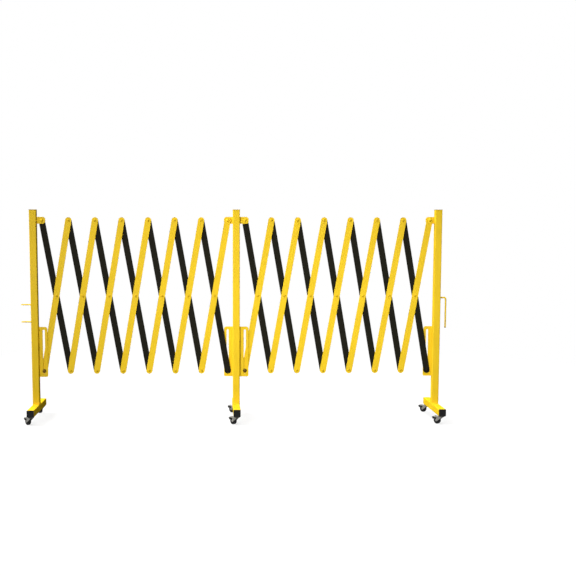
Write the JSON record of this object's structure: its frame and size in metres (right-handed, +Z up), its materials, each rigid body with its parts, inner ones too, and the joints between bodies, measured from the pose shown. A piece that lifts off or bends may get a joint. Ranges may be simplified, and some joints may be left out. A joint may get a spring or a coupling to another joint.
{
  "type": "expandable safety barrier",
  "caption": "Wheeled expandable barrier: square-tube posts on braked castors, joined by yellow and black scissor lattices that slide in slotted brackets.",
  "frame": {"origin": "on the floor, at the middle of the barrier's outline at rest", "axes": "+X along the barrier to the right, -Y towards the viewer of the front, +Z up"},
  "size_m": [2.1282, 0.4063, 1.05],
  "materials": {
    "yellow_paint": "gloss powder coat, yellow",
    "black_paint": "satin powder coat, black",
    "black_plastic": "moulded black plastic",
    "wheel_rubber": "black rubber",
    "zinc_plate": "zinc-plated pressed steel",
    "dark_zinc_plate": "dark passivated zinc"
  },
  "bodies": {
    "middle_post": {"middle_post": "yellow_paint", "middle_front_foot_cap": "black_plastic", "middle_rear_foot_cap": "black_plastic"},
    "left_post": {"left_post": "yellow_paint", "left_front_foot_cap": "black_plastic", "left_rear_foot_cap": "black_plastic"},
    "right_post": {"right_post": "yellow_paint", "right_front_foot_cap": "black_plastic", "right_rear_foot_cap": "black_plastic", "hook_rod": "yellow_paint"},
    "left_yellow_slat_7": {"left_yellow_slat_7": "yellow_paint"},
    "left_black_slat_7": {"left_black_slat_7": "black_paint", "left_inner_slot_bolt": "dark_zinc_plate"},
    "left_yellow_slat_6": {"left_yellow_slat_6": "yellow_paint"},
    "left_black_slat_6": {"left_black_slat_6": "black_paint"},
    "left_yellow_slat_5": {"left_yellow_slat_5": "yellow_paint"},
    "left_black_slat_5": {"left_black_slat_5": "black_paint"},
    "left_yellow_slat_4": {"left_yellow_slat_4": "yellow_paint"},
    "left_black_slat_4": {"left_black_slat_4": "black_paint"},
    "left_yellow_slat_3": {"left_yellow_slat_3": "yellow_paint"},
    "left_black_slat_3": {"left_black_slat_3": "black_paint"},
    "left_yellow_slat_2": {"left_yellow_slat_2": "yellow_paint"},
    "left_black_slat_2": {"left_black_slat_2": "black_paint"},
    "left_yellow_slat_1": {"left_yellow_slat_1": "yellow_paint", "left_outer_slot_bolt": "dark_zinc_plate"},
    "left_black_slat_1": {"left_black_slat_1": "black_paint"},
    "right_black_slat_1": {"right_black_slat_1": "black_paint"},
    "right_yellow_slat_1": {"right_yellow_slat_1": "yellow_paint", "right_inner_slot_bolt": "dark_zinc_plate"},
    "right_black_slat_2": {"right_black_slat_2": "black_paint"},
    "right_yellow_slat_2": {"right_yellow_slat_2": "yellow_paint"},
    "right_black_slat_3": {"right_black_slat_3": "black_paint"},
    "right_yellow_slat_3": {"right_yellow_slat_3": "yellow_paint"},
    "right_black_slat_4": {"right_black_slat_4": "black_paint"},
    "right_yellow_slat_4": {"right_yellow_slat_4": "yellow_paint"},
    "right_black_slat_5": {"right_black_slat_5": "black_paint"},
    "right_yellow_slat_5": {"right_yellow_slat_5": "yellow_paint"},
    "right_black_slat_6": {"right_black_slat_6": "black_paint"},
    "right_yellow_slat_6": {"right_yellow_slat_6": "yellow_paint"},
    "right_black_slat_7": {"right_black_slat_7": "black_paint", "right_outer_slot_bolt": "dark_zinc_plate"},
    "right_yellow_slat_7": {"right_yellow_slat_7": "yellow_paint"},
    "middle_front_castor_fork": {"middle_front_castor_fork": "zinc_plate"},
    "middle_front_castor_wheel": {"middle_front_castor_wheel": "wheel_rubber"},
    "middle_front_castor_brake": {"middle_front_castor_brake": "black_plastic"},
    "middle_rear_castor_fork": {"middle_rear_castor_fork": "zinc_plate"},
    "middle_rear_castor_wheel": {"middle_rear_castor_wheel": "wheel_rubber"},
    "middle_rear_castor_brake": {"middle_rear_castor_brake": "black_plastic"},
    "left_front_castor_fork": {"left_front_castor_fork": "zinc_plate"},
    "left_front_castor_wheel": {"left_front_castor_wheel": "wheel_rubber"},
    "left_front_castor_brake": {"left_front_castor_brake": "black_plastic"},
    "left_rear_castor_fork": {"left_rear_castor_fork": "zinc_plate"},
    "left_rear_castor_wheel": {"left_rear_castor_wheel": "wheel_rubber"},
    "left_rear_castor_brake": {"left_rear_castor_brake": "black_plastic"},
    "right_front_castor_fork": {"right_front_castor_fork": "zinc_plate"},
    "right_front_castor_wheel": {"right_front_castor_wheel": "wheel_rubber"},
    "right_front_castor_brake": {"right_front_castor_brake": "black_plastic"},
    "right_rear_castor_fork": {"right_rear_castor_fork": "zinc_plate"},
    "right_rear_castor_wheel": {"right_rear_castor_wheel": "wheel_rubber"},
    "right_rear_castor_brake": {"right_rear_castor_brake": "black_plastic"}
  },
  "joints": [
    {"name": "left_inner_post_pivot", "type": "hinge", "parent": "middle_post", "child": "left_yellow_slat_7", "pos_m": [-0.03465, -0.00985, 0.997], "axis": [0, 1, 0], "range_deg": [-7.46, 34.1]},
    {"name": "left_centre_pivot_7", "type": "hinge", "parent": "left_yellow_slat_7", "child": "left_black_slat_7", "pos_m": [-0.10033, -0.00985, 0.62184], "axis": [0, -1, 0], "range_deg": [-14.9, 68.2]},
    {"name": "left_top_pivot_6", "type": "hinge", "parent": "left_black_slat_7", "child": "left_yellow_slat_6", "pos_m": [-0.16601, -0.00985, 0.997], "axis": [0, 1, 0], "range_deg": [-14.9, 68.2]},
    {"name": "left_centre_pivot_6", "type": "hinge", "parent": "left_yellow_slat_6", "child": "left_black_slat_6", "pos_m": [-0.23168, -0.00985, 0.62184], "axis": [0, -1, 0], "range_deg": [-14.9, 68.2]},
    {"name": "left_top_pivot_5", "type": "hinge", "parent": "left_black_slat_6", "child": "left_yellow_slat_5", "pos_m": [-0.29736, -0.00985, 0.997], "axis": [0, 1, 0], "range_deg": [-14.9, 68.2]},
    {"name": "left_centre_pivot_5", "type": "hinge", "parent": "left_yellow_slat_5", "child": "left_black_slat_5", "pos_m": [-0.36304, -0.00985, 0.62184], "axis": [0, -1, 0], "range_deg": [-14.9, 68.2]},
    {"name": "left_top_pivot_4", "type": "hinge", "parent": "left_black_slat_5", "child": "left_yellow_slat_4", "pos_m": [-0.42872, -0.00985, 0.997], "axis": [0, 1, 0], "range_deg": [-14.9, 68.2]},
    {"name": "left_fold", "type": "hinge", "parent": "left_yellow_slat_4", "child": "left_black_slat_4", "pos_m": [-0.49439, -0.00985, 0.62184], "axis": [0, -1, 0], "range_deg": [-14.86, 68.14]},
    {"name": "left_top_pivot_3", "type": "hinge", "parent": "left_black_slat_4", "child": "left_yellow_slat_3", "pos_m": [-0.56007, -0.00985, 0.997], "axis": [0, 1, 0], "range_deg": [-14.9, 68.2]},
    {"name": "left_centre_pivot_3", "type": "hinge", "parent": "left_yellow_slat_3", "child": "left_black_slat_3", "pos_m": [-0.62575, -0.00985, 0.62184], "axis": [0, -1, 0], "range_deg": [-14.9, 68.2]},
    {"name": "left_top_pivot_2", "type": "hinge", "parent": "left_black_slat_3", "child": "left_yellow_slat_2", "pos_m": [-0.69143, -0.00985, 0.997], "axis": [0, 1, 0], "range_deg": [-14.9, 68.2]},
    {"name": "left_centre_pivot_2", "type": "hinge", "parent": "left_yellow_slat_2", "child": "left_black_slat_2", "pos_m": [-0.75711, -0.00985, 0.62184], "axis": [0, -1, 0], "range_deg": [-14.9, 68.2]},
    {"name": "left_top_pivot_1", "type": "hinge", "parent": "left_black_slat_2", "child": "left_yellow_slat_1", "pos_m": [-0.82278, -0.00985, 0.997], "axis": [0, 1, 0], "range_deg": [-14.9, 68.2]},
    {"name": "left_centre_pivot_1", "type": "hinge", "parent": "left_yellow_slat_1", "child": "left_black_slat_1", "pos_m": [-0.88846, -0.00985, 0.62184], "axis": [0, -1, 0], "range_deg": [-14.9, 68.2]},
    {"name": "left_outer_post_pivot", "type": "hinge", "parent": "left_black_slat_1", "child": "left_post", "pos_m": [-0.95414, -0.00985, 0.997], "axis": [0, 1, 0], "range_deg": [-7.46, 34.1]},
    {"name": "right_inner_post_pivot", "type": "hinge", "parent": "middle_post", "child": "right_black_slat_1", "pos_m": [0.05135, -0.00985, 0.997], "axis": [0, -1, 0], "range_deg": [-7.46, 34.1]},
    {"name": "right_centre_pivot_1", "type": "hinge", "parent": "right_black_slat_1", "child": "right_yellow_slat_1", "pos_m": [0.11703, -0.00985, 0.62184], "axis": [0, 1, 0], "range_deg": [-14.9, 68.2]},
    {"name": "right_top_pivot_1", "type": "hinge", "parent": "right_yellow_slat_1", "child": "right_black_slat_2", "pos_m": [0.18271, -0.00985, 0.997], "axis": [0, -1, 0], "range_deg": [-14.9, 68.2]},
    {"name": "right_centre_pivot_2", "type": "hinge", "parent": "right_black_slat_2", "child": "right_yellow_slat_2", "pos_m": [0.24838, -0.00985, 0.62184], "axis": [0, 1, 0], "range_deg": [-14.9, 68.2]},
    {"name": "right_top_pivot_2", "type": "hinge", "parent": "right_yellow_slat_2", "child": "right_black_slat_3", "pos_m": [0.31406, -0.00985, 0.997], "axis": [0, -1, 0], "range_deg": [-14.9, 68.2]},
    {"name": "right_centre_pivot_3", "type": "hinge", "parent": "right_black_slat_3", "child": "right_yellow_slat_3", "pos_m": [0.37974, -0.00985, 0.62184], "axis": [0, 1, 0], "range_deg": [-14.9, 68.2]},
    {"name": "right_top_pivot_3", "type": "hinge", "parent": "right_yellow_slat_3", "child": "right_black_slat_4", "pos_m": [0.44542, -0.00985, 0.997], "axis": [0, -1, 0], "range_deg": [-14.9, 68.2]},
    {"name": "right_fold", "type": "hinge", "parent": "right_black_slat_4", "child": "right_yellow_slat_4", "pos_m": [0.51109, -0.00985, 0.62184], "axis": [0, 1, 0], "range_deg": [-14.86, 68.14]},
    {"name": "right_top_pivot_4", "type": "hinge", "parent": "right_yellow_slat_4", "child": "right_black_slat_5", "pos_m": [0.57677, -0.00985, 0.997], "axis": [0, -1, 0], "range_deg": [-14.9, 68.2]},
    {"name": "right_centre_pivot_5", "type": "hinge", "parent": "right_black_slat_5", "child": "right_yellow_slat_5", "pos_m": [0.64245, -0.00985, 0.62184], "axis": [0, 1, 0], "range_deg": [-14.9, 68.2]},
    {"name": "right_top_pivot_5", "type": "hinge", "parent": "right_yellow_slat_5", "child": "right_black_slat_6", "pos_m": [0.70813, -0.00985, 0.997], "axis": [0, -1, 0], "range_deg": [-14.9, 68.2]},
    {"name": "right_centre_pivot_6", "type": "hinge", "parent": "right_black_slat_6", "child": "right_yellow_slat_6", "pos_m": [0.77381, -0.00985, 0.62184], "axis": [0, 1, 0], "range_deg": [-14.9, 68.2]},
    {"name": "right_top_pivot_6", "type": "hinge", "parent": "right_yellow_slat_6", "child": "right_black_slat_7", "pos_m": [0.83948, -0.00985, 0.997], "axis": [0, -1, 0], "range_deg": [-14.9, 68.2]},
    {"name": "right_centre_pivot_7", "type": "hinge", "parent": "right_black_slat_7", "child": "right_yellow_slat_7", "pos_m": [0.90516, -0.00985, 0.62184], "axis": [0, 1, 0], "range_deg": [-14.9, 68.2]},
    {"name": "right_outer_post_pivot", "type": "hinge", "parent": "right_yellow_slat_7", "child": "right_post", "pos_m": [0.97084, -0.00985, 0.997], "axis": [0, -1, 0], "range_deg": [-7.46, 34.1]},
    {"name": "middle_front_castor_swivel", "type": "hinge", "parent": "middle_post", "child": "middle_front_castor_fork", "pos_m": [0.00835, -0.18185, 0], "axis": [0, 0, 1], "continuous": true},
    {"name": "middle_front_castor_roll", "type": "hinge", "parent": "middle_front_castor_fork", "child": "middle_front_castor_wheel", "pos_m": [-0.00862, -0.16488, 0.0175], "axis": [-0.7071, -0.7071, 0], "continuous": true},
    {"name": "middle_front_castor_brake_tread", "type": "hinge", "parent": "middle_front_castor_fork", "child": "middle_front_castor_brake", "pos_m": [-0.0195, -0.154, 0.03459], "axis": [-0.7071, -0.7071, 0], "range_deg": [0, 10]},
    {"name": "middle_rear_castor_swivel", "type": "hinge", "parent": "middle_post", "child": "middle_rear_castor_fork", "pos_m": [0.00835, 0.16215, 0], "axis": [0, 0, 1], "continuous": true},
    {"name": "middle_rear_castor_roll", "type": "hinge", "parent": "middle_rear_castor_fork", "child": "middle_rear_castor_wheel", "pos_m": [-0.00862, 0.17912, 0.0175], "axis": [-0.7071, -0.7071, 0], "continuous": true},
    {"name": "middle_rear_castor_brake_tread", "type": "hinge", "parent": "middle_rear_castor_fork", "child": "middle_rear_castor_brake", "pos_m": [-0.0195, 0.19, 0.03459], "axis": [-0.7071, -0.7071, 0], "range_deg": [0, 10]},
    {"name": "left_front_castor_swivel", "type": "hinge", "parent": "left_post", "child": "left_front_castor_fork", "pos_m": [-0.99714, -0.18185, 0], "axis": [0, 0, 1], "continuous": true},
    {"name": "left_front_castor_roll", "type": "hinge", "parent": "left_front_castor_fork", "child": "left_front_castor_wheel", "pos_m": [-1.01411, -0.16488, 0.0175], "axis": [-0.7071, -0.7071, 0], "continuous": true},
    {"name": "left_front_castor_brake_tread", "type": "hinge", "parent": "left_front_castor_fork", "child": "left_front_castor_brake", "pos_m": [-1.02499, -0.154, 0.03459], "axis": [-0.7071, -0.7071, 0], "range_deg": [0, 10]},
    {"name": "left_rear_castor_swivel", "type": "hinge", "parent": "left_post", "child": "left_rear_castor_fork", "pos_m": [-0.99714, 0.16215, 0], "axis": [0, 0, 1], "continuous": true},
    {"name": "left_rear_castor_roll", "type": "hinge", "parent": "left_rear_castor_fork", "child": "left_rear_castor_wheel", "pos_m": [-1.01411, 0.17912, 0.0175], "axis": [-0.7071, -0.7071, 0], "continuous": true},
    {"name": "left_rear_castor_brake_tread", "type": "hinge", "parent": "left_rear_castor_fork", "child": "left_rear_castor_brake", "pos_m": [-1.02499, 0.19, 0.03459], "axis": [-0.7071, -0.7071, 0], "range_deg": [0, 10]},
    {"name": "right_front_castor_swivel", "type": "hinge", "parent": "right_post", "child": "right_front_castor_fork", "pos_m": [1.01384, -0.18185, 0], "axis": [0, 0, 1], "continuous": true},
    {"name": "right_front_castor_roll", "type": "hinge", "parent": "right_front_castor_fork", "child": "right_front_castor_wheel", "pos_m": [0.99687, -0.16488, 0.0175], "axis": [-0.7071, -0.7071, 0], "continuous": true},
    {"name": "right_front_castor_brake_tread", "type": "hinge", "parent": "right_front_castor_fork", "child": "right_front_castor_brake", "pos_m": [0.98599, -0.154, 0.03459], "axis": [-0.7071, -0.7071, 0], "range_deg": [0, 10]},
    {"name": "right_rear_castor_swivel", "type": "hinge", "parent": "right_post", "child": "right_rear_castor_fork", "pos_m": [1.01384, 0.16215, 0], "axis": [0, 0, 1], "continuous": true},
    {"name": "right_rear_castor_roll", "type": "hinge", "parent": "right_rear_castor_fork", "child": "right_rear_castor_wheel", "pos_m": [0.99687, 0.17912, 0.0175], "axis": [-0.7071, -0.7071, 0], "continuous": true},
    {"name": "right_rear_castor_brake_tread", "type": "hinge", "parent": "right_rear_castor_fork", "child": "right_rear_castor_brake", "pos_m": [0.98599, 0.19, 0.03459], "axis": [-0.7071, -0.7071, 0], "range_deg": [0, 10]}
  ],
  "couplings": [
    {"joint": "left_inner_post_pivot", "follows": "left_fold", "ratio": 0.5},
    {"joint": "left_centre_pivot_7", "follows": "left_fold", "ratio": 1},
    {"joint": "left_top_pivot_6", "follows": "left_fold", "ratio": 1},
    {"joint": "left_centre_pivot_6", "follows": "left_fold", "ratio": 1},
    {"joint": "left_top_pivot_5", "follows": "left_fold", "ratio": 1},
    {"joint": "left_centre_pivot_5", "follows": "left_fold", "ratio": 1},
    {"joint": "left_top_pivot_4", "follows": "left_fold", "ratio": 1},
    {"joint": "left_top_pivot_3", "follows": "left_fold", "ratio": 1},
    {"joint": "left_centre_pivot_3", "follows": "left_fold", "ratio": 1},
    {"joint": "left_top_pivot_2", "follows": "left_fold", "ratio": 1},
    {"joint": "left_centre_pivot_2", "follows": "left_fold", "ratio": 1},
    {"joint": "left_top_pivot_1", "follows": "left_fold", "ratio": 1},
    {"joint": "left_centre_pivot_1", "follows": "left_fold", "ratio": 1},
    {"joint": "left_outer_post_pivot", "follows": "left_fold", "ratio": 0.5},
    {"joint": "right_inner_post_pivot", "follows": "right_fold", "ratio": 0.5},
    {"joint": "right_centre_pivot_1", "follows": "right_fold", "ratio": 1},
    {"joint": "right_top_pivot_1", "follows": "right_fold", "ratio": 1},
    {"joint": "right_centre_pivot_2", "follows": "right_fold", "ratio": 1},
    {"joint": "right_top_pivot_2", "follows": "right_fold", "ratio": 1},
    {"joint": "right_centre_pivot_3", "follows": "right_fold", "ratio": 1},
    {"joint": "right_top_pivot_3", "follows": "right_fold", "ratio": 1},
    {"joint": "right_top_pivot_4", "follows": "right_fold", "ratio": 1},
    {"joint": "right_centre_pivot_5", "follows": "right_fold", "ratio": 1},
    {"joint": "right_top_pivot_5", "follows": "right_fold", "ratio": 1},
    {"joint": "right_centre_pivot_6", "follows": "right_fold", "ratio": 1},
    {"joint": "right_top_pivot_6", "follows": "right_fold", "ratio": 1},
    {"joint": "right_centre_pivot_7", "follows": "right_fold", "ratio": 1},
    {"joint": "right_outer_post_pivot", "follows": "right_fold", "ratio": 0.5}
  ]
}
